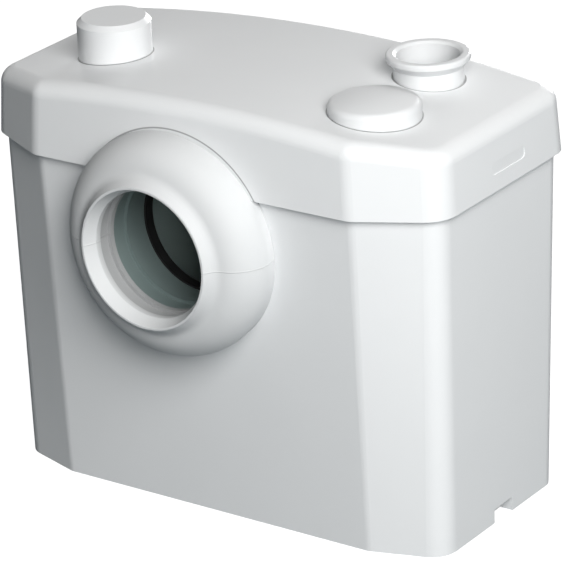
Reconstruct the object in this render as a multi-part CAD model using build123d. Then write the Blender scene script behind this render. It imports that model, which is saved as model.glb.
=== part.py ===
from build123d import *
import os
from math import asin, cos, degrees, hypot, pi, radians, sin, sqrt

# Macerator toilet pump. Millimetres, +X to the right, the toilet inlet faces -Y, +Z up.
# The origin is the middle of the tank's underside, on the floor.

os.makedirs("parts", exist_ok=True)

quarter_turn = 90
full_turn = 360

# Clearances
seat_gap = 0.2           # between pieces that rest or plug on each other
curved_gap = 0.3         # between curved faces that lie on each other
running_gap = 0.04       # radial, shaft in its bearings
press_gap = 0.02         # radial, pieces pressed on the shaft
overrun = 4.0            # how far a cutting solid reaches past the face it cuts

# Lid
lid_width = 330.0
lid_depth = 165.6
lid_edge_height = 216.8   # lower edge of the skirt above the floor
lid_rise = 51.8           # highest point of the arched top above the lower edge
lid_crown_radius = 1088.0
lid_skirt_lean = 2.7      # how much the top outline is smaller than the lower one, each side
lid_bevel_width = 50.0    # front corner bevels
lid_bevel_depth = 25.0
lid_edge_round = 10.5
lid_wall = 2.6
lid_ledge_thickness = 3.0 # inner ring that bears on the rim seal
lid_side_round = 20.4     # plan rounding where a bevel meets a side
lid_front_round = 16.0    # plan rounding where a bevel meets the front
lid_rear_round = 16.0
panel_length = 35.5       # bare sunk panel on the lid's right side
panel_height = 7.6
panel_round = 2.5
panel_sink = 0.3
panel_rise = 14.0         # panel's middle above the lid's lower edge

# Tank
lid_overhang = 4.2        # lid's lower edge beyond the tank's rim, each side
tank_wall = 3.2
tank_floor = 4.0
post_radius = 6.0         # posts on the tank's floor under the basket's free end
post_spread = 60.0
rim_rise = 11.7           # tank's rim above the lid's lower edge
base_lean_width = 2.5     # how much the foot is smaller than the rim, each side
base_lean_depth = 8.5
base_shift = 2.0          # the foot sits this far towards the front
base_bevel_width = 45.8
base_bevel_depth = 14.0
ledge_width = 6.0
ledge_height = 6.0
slot_width = 20.5         # floor clip slot in the foot of each end wall
slot_height = 9.3
slot_depth = 9.0
slot_y = 7.2
pad_radius = 10.0
pad_thickness = 4.0
pad_bottom_skin = 2.0     # tank material left above each pad
pad_inset_x = 26.0
pad_inset_y = 24.0

# Rim seal
seal_width = 3.0
seal_height = 3.0

# Toilet inlet
inlet_drop = 36.8         # inlet's axis below the lid's lower edge
inlet_bore_radius = 41.4
inlet_pipe_wall = 2.4
inlet_pipe_front = 6.0    # how far the pipe stands out of the lid's front
inlet_mouth_wall = 1.2    # the pipe's front stretch is bored wider
inlet_pipe_rear_share = 0.1932  # how far it reaches in behind the lid's front, of the lid's depth
inlet_rib_height = 0.9
inlet_rib_length = 7.0
inlet_rib_place = 13.6    # from the lid's front to the rib's far side, inwards
inlet_flange_radius = 47.5
inlet_flange_thickness = 3.0
lip_seal_length = 7.0
lip_seal_thickness = 1.4
sleeve_reach = 32.5       # mouth plane in front of the lid's lower edge
sleeve_base_radius = 70.5
sleeve_side = 3.1         # straight side at the foot of the dome
sleeve_foot_step = 1.0    # the foot is drawn in this much where it meets the lid
sleeve_crown_radius = 48.0 # where the dome is highest
sleeve_neck_radius = 50.0 # where the neck rises from the dome
sleeve_neck_round = 8.0
sleeve_rim_width = 1.4
mouth_rim_radius = 43.4   # inner edge of the rim, where the mouth's funnel starts
mouth_radius = 40.0
mouth_length = 12.4
mouth_land = 4.0          # straight wall behind the funnel
sleeve_groove_radius = 42.8
sleeve_groove_length = 10.4
sleeve_rib_radius = 40.5
sleeve_rib_length = 3.5
sleeve_wall = 4.0
sleeve_root = 14.0        # how far the sleeve's solid reaches behind the lid's front
notch_gap = 1.2

# Spare inlet and its cap
spare_outer_radius = 19.0
spare_bore_radius = 16.5
spare_height = 19.0       # above the lid's crown at its centre
spare_depth = 14.0        # below the lid's crown
cap_radius = 22.9
cap_height = 24.6
cap_bevel = 3.1
cap_top_thickness = 3.0

# Vent
vent_cap_radius = 27.8
vent_cap_side = 3.2       # straight side above the lid's crown
vent_cap_height = 11.8
vent_cap_wall = 2.5
vent_boss_radius = 22.8
vent_boss_wall = 3.0
vent_boss_height = 4.5
vent_pocket_depth = 18.0
vent_floor = 2.5
vent_hole_radius = 2.6
vent_hole_ring = 13.0
vent_hole_count = 8
filter_height = 13.0

# Discharge
collar_neck_radius = 21.4
collar_lip_radius = 25.6
collar_lip_height = 16.1  # lip above the lid's crown at its centre
collar_lip_thickness = 3.6
collar_lip_round = 1.5
collar_flare_height = 4.5
collar_bore_radius = 19.2
collar_mouth_chamfer = 1.6
collar_stop_rise = 3.0    # the bore above this height is free for a hose tail or an elbow
collar_stop_step = 0.3    # the bore below it is wider, round the lid's tube
well_depth = 12.0         # ring-shaped well in the lid that the collar stands in
well_wall = 2.5
well_floor = 2.5
riser_radius = 14.0
riser_wall = 2.2
riser_drop = 3.0          # riser's top below the lid's crown
riser_seal_height = 6.0
riser_seal_thickness = 2.2
riser_seal_drop = 4.0     # seal's top below the lid's crown

# Motor deck
deck_drop = 12.5          # top of the tank's ledge, on which the deck lies, below the rim
deck_thickness = 4.0
deck_gap = 0.5            # plate edge to tank wall
deck_notch_margin = 5.0   # room round the inlet's flange
deck_notch_depth = 46.0

# Motor, pump and cutter share one upright axis
motor_radius = 36.0
motor_wall = 3.0
motor_floor = 4.0
motor_flange_radius = 44.0
motor_flange_thickness = 4.0
bearing_radius = 13.0
bearing_width = 9.0
bearing_pocket_wall = 3.5
shaft_radius = 5.0
shaft_bottom_height = 17.0
shaft_head_room = 3.0
seal_ring_radius = 10.0
seal_ring_height = 8.0
seal_ring_web = 2.0
stator_bore_radius = 18.5
air_gap = 0.5
winding_height = 13.0
winding_inset = 3.0
stator_slot_count = 12
stator_slot_radius = 2.2
cover_thickness = 4.0
cover_dome_radius = 20.0
cover_dome_height = 6.0
motor_screw_count = 4
motor_screw_ring = 39.5
motor_screw_radius = 2.0
motor_screw_head_radius = 3.6
motor_screw_head_height = 2.8
motor_screw_socket_radius = 1.5

# Cutter
blade_hub_radius = 11.0
blade_hub_height = 12.0
blade_hub_flange = 4.0
blade_hub_clearance = 10.0 # hub above the basket's floor
blade_hub_flange_radius = 15.0
blade_reach = 34.0
blade_width = 16.0
blade_thickness = 2.5
blade_tip_height = 13.0
nut_across_radius = 9.0
nut_height = 6.0
nut_sides = 6

# Basket
basket_wall = 2.4
basket_round = 12.0
basket_cut_round = 6.0
basket_drop = 8.0         # basket's rim below the deck
basket_floor = 2.6
basket_hole_radius = 4.2
basket_hole_pitch = 16.0
basket_hole_rows = 3
basket_hole_first = 14.0  # first row above the basket's underside
basket_edge_margin = 16.0

# Pump
volute_bottom_height = 12.0
volute_radius = 36.0
volute_wall = 3.0
volute_height = 22.0      # casing above its underside
volute_eye_radius = 12.0
volute_foot_radius = 5.0
volute_foot_count = 3
volute_foot_ring = 28.0
volute_cover_thickness = 3.0
nozzle_radius = 9.5
nozzle_wall = 2.2
impeller_radius = 27.0
impeller_disc = 3.0
impeller_vane_height = 8.0
impeller_vane_width = 2.4
impeller_vane_count = 6
impeller_hub_radius = 9.0
impeller_drop = 2.0       # disc below the casing's top

# Non-return valve
valve_radius = 16.0
valve_wall = 2.6
valve_floor = 3.0
valve_height = 74.0
riser_socket = 6.0        # how far the riser stands in the valve
valve_seat_height = 44.0
valve_seat_thickness = 3.0
valve_seat_bore_radius = 7.5
flap_radius = 9.6
flap_thickness = 2.4
flap_pin_radius = 1.2
flap_pin_offset = 10.0
flap_lug_radius = 2.3
flap_lug_width = 6.0
flap_pin_grip = 1.4       # how far the pin reaches into each side wall

# Level switch
dip_radius = 16.0
dip_wall = 2.5
dip_bottom_height = 24.0
chamber_radius = 24.0
spare_drain_radius = 17.0 # hole in the deck under the spare inlet
chamber_height = 10.0
chamber_wall = 3.0
diaphragm_thickness = 1.2
diaphragm_bead = 3.0
diaphragm_bead_height = 2.0
switch_cover_height = 7.0
switch_cover_wall = 2.5
plunger_disc_radius = 9.0
plunger_disc_height = 1.8
plunger_stem_radius = 4.0
plunger_stem_height = 7.0
plunger_travel = 1.5
plunger_gap = 0.3
microswitch_length = 20.0
microswitch_width = 6.4
microswitch_height = 8.5
microswitch_pin_length = 4.5
microswitch_pin_radius = 1.0
microswitch_pin_count = 3
post_width = 4.0

# Electrical parts on the deck
capacitor_radius = 15.0
capacitor_length = 58.0
capacitor_cap_height = 2.0
clip_width = 12.0
clip_thickness = 1.2
clip_foot = 9.0
clip_screw_radius = 2.0
terminal_length = 46.0
terminal_width = 17.0
terminal_gap = 4.3        # between the block and the capacitor's clip
terminal_height = 15.0
terminal_count = 5
terminal_screw_radius = 2.6
terminal_screw_depth = 5.0
terminal_entry_radius = 1.8

# Cable gland in the lid's rear wall
gland_rise = 27.2         # gland's axis above the lid's lower edge
gland_thread_radius = 6.0
gland_bore_radius = 3.4
gland_flange_radius = 8.5
gland_flange_height = 3.0
gland_dome_radius = 7.0
gland_dome_height = 10.0
gland_inner_length = 9.0
gland_nut_radius = 9.0
gland_nut_height = 4.0

# Places in plan, as shares of half the lid's width and depth
inlet_width_share = -0.0697
spare_shares = (-0.5897, -0.2258)
vent_shares = (0.6121, -0.3684)
outlet_shares = (0.5842, 0.4167)
motor_shares = (0.3030, -0.1208)
basket_near_shares = (-0.4364, -0.6763)
basket_far_shares = (0.5879, 0.6039)
basket_cut_shares = (0.4000, -0.0483)
switch_shares = (-0.6970, 0.3382)
capacitor_shares = (-0.2545, 0.5072)
terminal_width_share = -0.2788
post_width_share = -0.3152
gland_width_share = -0.6667
panel_depth_share = 0.1618

# Heights along the motor's shaft, as shares of the deck's height
motor_bottom_share = 0.435
stator_bottom_share = 0.593
stator_height_share = 0.194

half_width = lid_width / 2
half_depth = lid_depth / 2
lid_front = -half_depth
lid_crown_height = lid_edge_height + lid_rise
rim_height = lid_edge_height + rim_rise
deck_height = rim_height - deck_drop
basket_height = deck_height - basket_drop
inlet_z = lid_edge_height - inlet_drop
gland_z = lid_edge_height + gland_rise
panel_z = lid_edge_height + panel_rise
motor_bottom_height = deck_height * motor_bottom_share
stator_bottom_height = deck_height * stator_bottom_share
stator_height = deck_height * stator_height_share
inlet_pipe_rear = lid_depth * inlet_pipe_rear_share
basket_bottom = volute_bottom_height + volute_height + seat_gap + volute_cover_thickness + seat_gap
blade_height = basket_bottom + basket_floor + blade_hub_clearance + blade_hub_height


def placed(shares):
    """Place in plan from its shares of the lid's half width and half depth."""
    return half_width * shares[0], half_depth * shares[1]


spare_x, spare_y = placed(spare_shares)
vent_x, vent_y = placed(vent_shares)
outlet_x, outlet_y = placed(outlet_shares)
motor_x, motor_y = placed(motor_shares)
basket_left, basket_front = placed(basket_near_shares)
basket_right, basket_rear = placed(basket_far_shares)
basket_cut_x, basket_cut_y = placed(basket_cut_shares)
switch_x, switch_y = placed(switch_shares)
capacitor_x, capacitor_y = placed(capacitor_shares)
inlet_x = half_width * inlet_width_share
post_x = half_width * post_width_share
gland_x = half_width * gland_width_share
terminal_x = half_width * terminal_width_share
terminal_y = capacitor_y - capacitor_radius - clip_thickness - clip_foot - terminal_gap - terminal_width / 2
panel_y = half_depth * panel_depth_share
mouth_y = lid_front - sleeve_reach


# Helpers
def corner_after_inset(width, depth, inset):
    """Bevel sizes of a corner once its outline has moved in by inset."""
    slope = hypot(width, depth)
    new_width = width - inset * (1 - (slope - width) / depth)
    new_depth = depth - inset * (1 - (slope - depth) / width)
    return new_width, new_depth


def plan(height, half_w, half_d, bevel, rounds, inset=0):
    """Bevelled, rounded plan outline as a face at a height, moved in by inset."""
    bevel_w, bevel_d = corner_after_inset(bevel[0], bevel[1], inset)
    w = half_w - inset
    d = half_d - inset
    rear, side, front = [r - inset for r in rounds]
    points = [(-w, d), (-w, -d + bevel_d), (-w + bevel_w, -d)]
    points += [(w - bevel_w, -d), (w, -d + bevel_d), (w, d)]
    radii = [rear, side, front, front, side, rear]
    return Pos(0, 0, height) * make_face(FilletPolyline(*points, radius=radii, close=True))


def upright(radius, bottom, top, x, y):
    """Upright cylinder between two heights."""
    ends = (Align.CENTER, Align.CENTER, Align.MIN)
    return Pos(x, y, bottom) * Cylinder(radius, top - bottom, align=ends)


def tube(outer, inner, bottom, top, x, y):
    """Upright tube between two heights."""
    return upright(outer, bottom, top, x, y) - upright(inner, bottom - overrun, top + overrun, x, y)


def along_y(radius, front, rear, x, z):
    """Cylinder along Y from front to rear."""
    ends = (Align.CENTER, Align.CENTER, Align.MIN)
    return Pos(x, rear, z) * Rot(quarter_turn, 0, 0) * Cylinder(radius, rear - front, align=ends)


def block(x0, x1, y0, y1, z0, z1):
    """Box between two corners."""
    size = Box(x1 - x0, y1 - y0, z1 - z0)
    return Pos((x0 + x1) / 2, (y0 + y1) / 2, (z0 + z1) / 2) * size


def hexagon(radius, sides, bottom, top, x, y):
    """Upright prism between two heights."""
    return Pos(x, y, bottom) * extrude(RegularPolygon(radius, sides), top - bottom)


def turned(points, x, y):
    """Solid of revolution about an upright axis, from points (radius, height)."""
    face = make_face(Polyline(*points, close=True))
    return Pos(x, y, 0) * revolve(Plane.XZ * face, Axis.Z)


def ring_places(radius, count, x, y, start=0):
    """Places spread evenly on a circle."""
    step = full_turn / count
    turns = [radians(start + step * i) for i in range(count)]
    return [(x + radius * cos(t), y + radius * sin(t)) for t in turns]


# Lid and tank envelopes
lid_bevel = (lid_bevel_width, lid_bevel_depth)
lid_rounds = (lid_rear_round, lid_side_round, lid_front_round)
rim_bevel = corner_after_inset(lid_bevel_width, lid_bevel_depth, lid_overhang)
rim_half_w = half_width - lid_overhang
rim_half_d = half_depth - lid_overhang
rim_rounds = tuple(r - lid_overhang for r in lid_rounds)
base_bevel = (base_bevel_width, base_bevel_depth)


def crown_at(x):
    """Height of the lid's arched top at x."""
    return lid_crown_height - lid_crown_radius + sqrt(lid_crown_radius ** 2 - x ** 2)


def crown_solid(drop):
    """Everything below the lid's arched top, lowered by drop."""
    radius = lid_crown_radius - drop
    arch = Rot(quarter_turn, 0, 0) * Cylinder(radius, lid_depth + 2 * lid_crown_height)
    return Pos(0, 0, lid_crown_height - lid_crown_radius) * arch


def lid_block(inset, bottom):
    """Skirt shape of the lid before its top is arched, from the bottom height up."""
    span = lid_crown_height - lid_edge_height
    share = (bottom - lid_edge_height) / span
    lean = lid_skirt_lean * share
    low = plan(bottom, half_width - lean, half_depth - lean, lid_bevel, lid_rounds, inset)
    top = lid_crown_height + overrun
    lean_top = lid_skirt_lean * (top - lid_edge_height) / span
    high = plan(top, half_width - lean_top, half_depth - lean_top, lid_bevel, lid_rounds, inset)
    return loft([low, high], ruled=True)


def lid_form(inset, drop, bottom):
    """Lid shape with its arched top lowered by drop and its top edge rounded."""
    body = lid_block(inset, bottom) & crown_solid(drop)
    arch = body.faces().filter_by(GeomType.CYLINDER).sort_by(SortBy.AREA)[-1]
    return fillet(arch.edges(), lid_edge_round - inset)


def tank_block(inset, bottom, top):
    """Tapered shape of the tank between two heights, moved in by inset."""
    faces = []
    for height in (bottom, top):
        down = 1 - height / rim_height
        w = rim_half_w - base_lean_width * down
        d = rim_half_d - base_lean_depth * down
        bevel_w = rim_bevel[0] + (base_bevel[0] - rim_bevel[0]) * down
        bevel_d = rim_bevel[1] + (base_bevel[1] - rim_bevel[1]) * down
        outline = plan(height, w, d, (bevel_w, bevel_d), rim_rounds, inset)
        faces.append(Pos(0, -base_shift * down, 0) * outline)
    return loft(faces, ruled=True)


# Tank: tapered box with an inner ledge, an inlet hole, floor clip slots and pad pockets
pipe_radius = inlet_bore_radius + inlet_pipe_wall
flange_drop = rim_height - inlet_z + inlet_flange_radius
flange_front = -rim_half_d + tank_wall + base_lean_depth * flange_drop / rim_height + curved_gap


def make_tank():
    body = tank_block(0, 0, rim_height)
    hollow = tank_block(tank_wall, tank_floor, rim_height + overrun)
    ledge = tank_block(tank_wall / 2, deck_height - ledge_height, deck_height)
    ledge -= tank_block(tank_wall + ledge_width, deck_height - ledge_height - overrun, rim_height)
    tank = body - hollow + ledge
    outside = rim_half_w + overrun
    slot_face = rim_half_w - base_lean_width - slot_depth
    for side in (-1, 1):
        inner = side * (slot_face - tank_wall)
        outer = side * (rim_half_w - base_lean_width - tank_wall / 2)
        x0, x1 = min(inner, outer), max(inner, outer)
        y0 = slot_y - slot_width / 2
        y1 = slot_y + slot_width / 2
        tank += block(x0, x1, y0 - tank_wall, y1 + tank_wall, tank_floor / 2, slot_height + tank_wall)
        x0, x1 = min(side * slot_face, side * outside), max(side * slot_face, side * outside)
        tank -= block(x0, x1, y0, y1, -overrun, slot_height)
    for x, y in pad_places:
        tank += upright(pad_radius + tank_wall, tank_floor / 2, pad_thickness + pad_bottom_skin, x, y)
        tank -= upright(pad_radius + seat_gap, -overrun, pad_thickness, x, y)
    for side in (-1, 1):
        tank += upright(post_radius, tank_floor / 2, basket_bottom - seat_gap, post_x, side * post_spread / 2)
    seat = flange_front - seat_gap
    tank += along_y(inlet_flange_radius, -rim_half_d + tank_wall + seat_gap, seat, inlet_x, inlet_z)
    tank -= along_y(pipe_radius + curved_gap, -lid_depth, 0, inlet_x, inlet_z)
    return tank - along_y(inlet_flange_radius + notch_gap, seat, 0, inlet_x, inlet_z)


pad_x = rim_half_w - pad_inset_x - base_lean_width
pad_front = -rim_half_d + base_lean_depth + pad_inset_y
pad_rear = rim_half_d - base_lean_depth - pad_inset_y
pad_places = [(sx * pad_x, y) for sx in (-1, 1) for y in (pad_front, pad_rear)]


def make_pads():
    pads = [upright(pad_radius, 0, pad_thickness - seat_gap, x, y) for x, y in pad_places]
    return Compound(pads)


# Rim seal: flat rubber ring on top of the tank's wall
def make_lid_seal():
    top = rim_height + seal_height
    half = seal_width / 2
    middle = tank_wall / 2
    outer = tank_profile(middle - half, rim_height)
    inner = tank_profile(middle + half, rim_height)
    return extrude(outer, top - rim_height) - extrude(inner, top - rim_height)


def tank_profile(inset, height):
    return plan(height, rim_half_w, rim_half_d, rim_bevel, rim_rounds, inset)


# Lid: arched cover with a skirt that laps over the tank
lid_seat_height = rim_height + seal_height + seat_gap


def make_lid():
    body = lid_form(0, 0, lid_edge_height)
    skirt_room = lid_block(lid_wall, lid_edge_height) & block(
        -half_width, half_width, -half_depth, half_depth, lid_edge_height - overrun, lid_seat_height)
    ring_top = lid_seat_height + lid_ledge_thickness
    ring_room = extrude(tank_profile(tank_wall, lid_seat_height), lid_ledge_thickness)
    lid = body - skirt_room - ring_room - lid_form(lid_wall, lid_wall, ring_top)
    lid = add_spare_spigot(lid)
    lid = add_vent_pocket(lid)
    lid = add_discharge_well(lid)
    lid -= along_y(pipe_radius + notch_gap, -lid_depth, 0, inlet_x, inlet_z)
    lid -= along_y(gland_thread_radius + curved_gap, 0, lid_depth, gland_x, gland_z)
    lid -= side_panel()
    return lid


def side_panel():
    """Sunk panel cut into the lid's right side, parallel to its leaning face."""
    span = lid_crown_height - lid_edge_height
    face_x = half_width - lid_skirt_lean * (panel_z - lid_edge_height) / span
    face = Plane(origin=(face_x - panel_sink, panel_y, panel_z), x_dir=(0, 1, 0), z_dir=(1, 0, 0))
    return extrude(face * RectangleRounded(panel_length, panel_height, panel_round), overrun)


def add_spare_spigot(lid):
    """Open tube through the lid for a second inlet."""
    crown = crown_at(spare_x)
    bottom = crown - spare_depth
    lid += upright(spare_outer_radius, bottom, crown + spare_height, spare_x, spare_y)
    return lid - upright(spare_bore_radius, bottom - overrun, crown + spare_height + overrun, spare_x,
                         spare_y)


def add_vent_pocket(lid):
    """Cup for the filter, with air holes in its floor and a rim above the lid."""
    crown = crown_at(vent_x)
    bottom = crown - vent_pocket_depth
    inner = vent_boss_radius - vent_boss_wall
    lid += upright(vent_boss_radius, bottom, crown + vent_boss_height, vent_x, vent_y)
    lid -= upright(inner, bottom + vent_floor, crown + vent_boss_height + overrun, vent_x, vent_y)
    for x, y in ring_places(vent_hole_ring, vent_hole_count, vent_x, vent_y):
        lid -= upright(vent_hole_radius, bottom - overrun, bottom + vent_floor + overrun, x, y)
    return lid


def add_discharge_well(lid):
    """Ring-shaped well for the discharge collar, round a tube for the riser and its seal."""
    crown = crown_at(outlet_x)
    floor = crown - well_depth
    room = collar_neck_radius + curved_gap
    inner = collar_bore_radius - curved_gap
    above = crown + collar_lip_height
    lid += upright(room + well_wall, floor - well_floor, above, outlet_x,
                   outlet_y) & crown_solid(lid_wall / 2)
    lid -= tube(room, inner, floor, above, outlet_x, outlet_y) - upright(room, 0, floor, outlet_x, outlet_y)
    lid -= upright(riser_radius + curved_gap, floor - well_floor - overrun, above, outlet_x, outlet_y)
    pocket = riser_radius + riser_seal_thickness
    return lid - upright(pocket, crown - riser_seal_drop - riser_seal_height, above, outlet_x, outlet_y)


# Spare inlet's push-on cap
def make_inlet_cap():
    crown = crown_at(spare_x)
    top = crown + cap_height
    drop = cap_radius
    points = [(0, crown - drop), (cap_radius, crown - drop), (cap_radius, top - cap_bevel)]
    points += [(cap_radius - cap_bevel, top), (0, top)]
    cap = turned(points, spare_x, spare_y)
    cap -= upright(spare_outer_radius + curved_gap, crown - 2 * drop, top - cap_top_thickness, spare_x,
                   spare_y)
    return cap - crown_solid(-curved_gap)


# Vent's push-on cap
def make_vent_cap():
    crown = crown_at(vent_x)
    drop = vent_cap_radius
    side = crown + vent_cap_side
    top = crown + vent_cap_height
    cap = domed_rod(vent_cap_radius, crown - drop, side, top)
    cap -= domed_rod(vent_boss_radius + curved_gap, crown - 2 * drop, side, top - vent_cap_wall)
    return Pos(vent_x, vent_y, 0) * cap - crown_solid(-curved_gap)


def domed_rod(radius, bottom, side, top):
    """Upright rod with a shallow dome on top and a rounded edge between them."""
    rise = (top - side) / 2
    middle = (radius / 2, top - rise / 4)
    dome = ThreePointArc((0, top), middle, (radius, top - rise))
    rest = Polyline((radius, top - rise), (radius, bottom), (0, bottom), (0, top))
    face = make_face([dome, rest])
    corner = face.vertices().sort_by_distance((radius, top - rise))[0]
    return revolve(Plane.XZ * fillet(corner, rise), Axis.Z)


def make_carbon_filter():
    bottom = crown_at(vent_x) - vent_pocket_depth + vent_floor + seat_gap
    radius = vent_boss_radius - vent_boss_wall - curved_gap
    return upright(radius, bottom, bottom + filter_height, vent_x, vent_y)


# Discharge collar, riser pipe and the riser's seal
def make_discharge_collar():
    crown = crown_at(outlet_x)
    top = crown + collar_lip_height
    lip = top - collar_lip_thickness
    foot = crown - well_depth + seat_gap
    neck = collar_neck_radius
    bore = collar_bore_radius
    stop = crown + collar_stop_rise
    seat = bore + collar_stop_step
    points = [(bore, stop), (seat, stop), (seat, foot), (neck, foot)]
    points += [(neck, lip - collar_flare_height), (collar_lip_radius, lip)]
    points += [(collar_lip_radius, top), (bore + collar_mouth_chamfer, top),
               (bore, top - collar_mouth_chamfer)]
    face = make_face(Polyline(*points, close=True))
    for edge in ((collar_lip_radius, lip), (collar_lip_radius, top), (bore + collar_mouth_chamfer, top)):
        face = fillet(face.vertices().sort_by_distance(edge)[0], collar_lip_round)
    return Pos(outlet_x, outlet_y, 0) * revolve(Plane.XZ * face, Axis.Z)


def make_discharge_riser():
    top = crown_at(outlet_x) - riser_drop
    bottom = valve_height - riser_socket + seat_gap
    return tube(riser_radius, riser_radius - riser_wall, bottom, top, outlet_x, outlet_y)


def make_riser_seal():
    top = crown_at(outlet_x) - riser_seal_drop
    outer = riser_radius + riser_seal_thickness - running_gap
    return tube(outer, riser_radius + running_gap, top - riser_seal_height + seat_gap, top, outlet_x,
                outlet_y)


# Toilet inlet: rigid pipe through the tank's wall, lip seal and rubber sleeve
def make_inlet_pipe():
    front = lid_front - inlet_pipe_front
    rear = lid_front + inlet_pipe_rear
    pipe = along_y(pipe_radius, front, rear, inlet_x, inlet_z)
    flange_rear = flange_front + inlet_flange_thickness
    pipe += along_y(inlet_flange_radius, flange_front, flange_rear, inlet_x, inlet_z)
    pipe -= along_y(inlet_bore_radius, front - overrun, rear + overrun, inlet_x, inlet_z)
    rib_rear = lid_front + inlet_rib_place
    pipe -= along_y(pipe_radius - inlet_mouth_wall, front - overrun, rib_rear - inlet_rib_length,
                    inlet_x, inlet_z)
    rib = along_y(pipe_radius, rib_rear - inlet_rib_length, rib_rear, inlet_x, inlet_z)
    rib -= along_y(inlet_bore_radius - inlet_rib_height, front, rear, inlet_x, inlet_z)
    return pipe + rib


def make_inlet_lip_seal():
    rear = lid_front + inlet_pipe_rear
    front = rear - lip_seal_length
    outer = inlet_bore_radius - running_gap
    ring = along_y(outer, front, rear, inlet_x, inlet_z)
    return ring - along_y(outer - lip_seal_thickness, front - overrun, rear + overrun, inlet_x, inlet_z)


def make_inlet_sleeve():
    """Turned about the inlet's axis, in (radius, y), then fitted to the lid and the tank."""
    root = lid_front + sleeve_root
    dome_foot = lid_front - sleeve_side
    centre = sleeve_crown_radius
    dome_radius = sleeve_base_radius - centre
    grip = pipe_radius + curved_gap
    groove = mouth_y + mouth_length
    rib = groove + sleeve_groove_length
    seat = rib + sleeve_rib_length
    rim = mouth_rim_radius + sleeve_rim_width
    shift = sleeve_neck_radius - centre
    shoulder = dome_foot - sqrt(dome_radius ** 2 - shift ** 2)
    lean = degrees(asin(shift / dome_radius))
    dome = CenterArc((centre, dome_foot), dome_radius, lean - quarter_turn, quarter_turn - lean)
    foot = lid_front - sleeve_foot_step
    drawn_in = sleeve_base_radius - sleeve_foot_step
    outside = Polyline((grip, root), (drawn_in, root), (drawn_in, foot),
                       (sleeve_base_radius, foot - sleeve_foot_step), (sleeve_base_radius, dome_foot))
    neck = Polyline((sleeve_neck_radius, shoulder), (rim, mouth_y), (mouth_rim_radius, mouth_y),
                    (mouth_radius, groove - mouth_land))
    inside = Polyline((mouth_radius, groove - mouth_land), (mouth_radius, groove),
                      (sleeve_groove_radius, groove), (sleeve_groove_radius, rib), (sleeve_rib_radius, rib),
                      (sleeve_rib_radius, seat), (grip, seat), (grip, root))
    face = make_face([outside, dome, neck, inside])
    junction = face.vertices().sort_by_distance((sleeve_neck_radius, shoulder))[0]
    face = fillet(junction, sleeve_neck_round)
    edges = [face.vertices().sort_by_distance((r, mouth_y))[0] for r in (rim, mouth_rim_radius)]
    face = fillet(edges, sleeve_rim_width / 3)
    arch = CenterArc((centre, dome_foot), dome_radius - sleeve_wall, -quarter_turn, quarter_turn)
    room_top = dome_foot - dome_radius + sleeve_wall
    room_side = sleeve_base_radius - sleeve_wall
    room = Polyline((centre, room_top), (centre, root), (room_side, root), (room_side, dome_foot))
    sleeve = Pos(inlet_x, 0, inlet_z) * (revolve(face, Axis.Y) - revolve(make_face([arch, room]), Axis.Y))
    low = lid_edge_height - curved_gap
    sleeve -= extrude(plan(low, half_width, half_depth, lid_bevel, lid_rounds, -curved_gap), lid_crown_height)
    return sleeve - tank_block(-curved_gap, 0, rim_height)


# Motor deck: plate on the tank's ledge
deck_top = deck_height + seat_gap + deck_thickness


def make_motor_deck():
    bottom = deck_height + seat_gap
    deck = tank_block(tank_wall + deck_gap, bottom, deck_top)
    notch = inlet_flange_radius + deck_notch_margin
    deck -= block(inlet_x - notch, inlet_x + notch, -lid_depth, -deck_notch_margin - deck_notch_depth / 2,
                  bottom - overrun, deck_top + overrun)
    deck -= upright(motor_radius - motor_wall, bottom - overrun, deck_top + overrun, motor_x, motor_y)
    deck -= upright(riser_radius + curved_gap, bottom - overrun, deck_top + overrun, outlet_x, outlet_y)
    deck -= upright(dip_radius - dip_wall, bottom - overrun, deck_top + overrun, switch_x, switch_y)
    deck -= upright(spare_drain_radius, bottom - overrun, deck_top + overrun, spare_x, spare_y)
    for x, y in screw_places:
        deck -= upright(motor_screw_radius + curved_gap, bottom - overrun, deck_top + overrun, x, y)
    return deck


screw_places = ring_places(motor_screw_ring, motor_screw_count, motor_x, motor_y, quarter_turn / 2)

# Motor
motor_top = deck_height
cover_bottom = deck_top + seat_gap
cover_top = cover_bottom + cover_thickness
upper_bearing_top = cover_top
upper_bearing_bottom = upper_bearing_top - bearing_width
lower_bearing_bottom = motor_bottom_height + seal_ring_height + seal_ring_web
shaft_top = upper_bearing_top + shaft_head_room


def make_motor_housing():
    """Cup with a bearing pocket and a seal pocket in its floor, and a flange under the deck."""
    bore = motor_radius - motor_wall
    body = upright(motor_radius, motor_bottom_height, motor_top, motor_x, motor_y)
    body += upright(motor_flange_radius, motor_top - motor_flange_thickness, motor_top, motor_x, motor_y)
    body -= upright(bore, motor_bottom_height + motor_floor, motor_top + overrun, motor_x, motor_y)
    pocket_top = lower_bearing_bottom + bearing_width
    hub = upright(bearing_radius + bearing_pocket_wall, motor_bottom_height, pocket_top, motor_x, motor_y)
    body += hub
    body -= upright(bearing_radius + running_gap, lower_bearing_bottom, pocket_top + overrun, motor_x,
                    motor_y)
    seal_top = motor_bottom_height + seal_ring_height
    body -= upright(seal_ring_radius + running_gap, motor_bottom_height - overrun, seal_top, motor_x, motor_y)
    body -= upright(shaft_radius + curved_gap, motor_bottom_height, pocket_top, motor_x, motor_y)
    for x, y in screw_places:
        body -= upright(motor_screw_radius + running_gap, motor_top - motor_flange_thickness - overrun,
                        motor_top + overrun, x, y)
    return body


def make_bearing(bottom):
    return tube(bearing_radius, shaft_radius + running_gap, bottom, bottom + bearing_width, motor_x, motor_y)


def make_shaft_seal():
    top = motor_bottom_height + seal_ring_height - seat_gap
    return tube(seal_ring_radius, shaft_radius + running_gap, motor_bottom_height, top, motor_x, motor_y)


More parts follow.
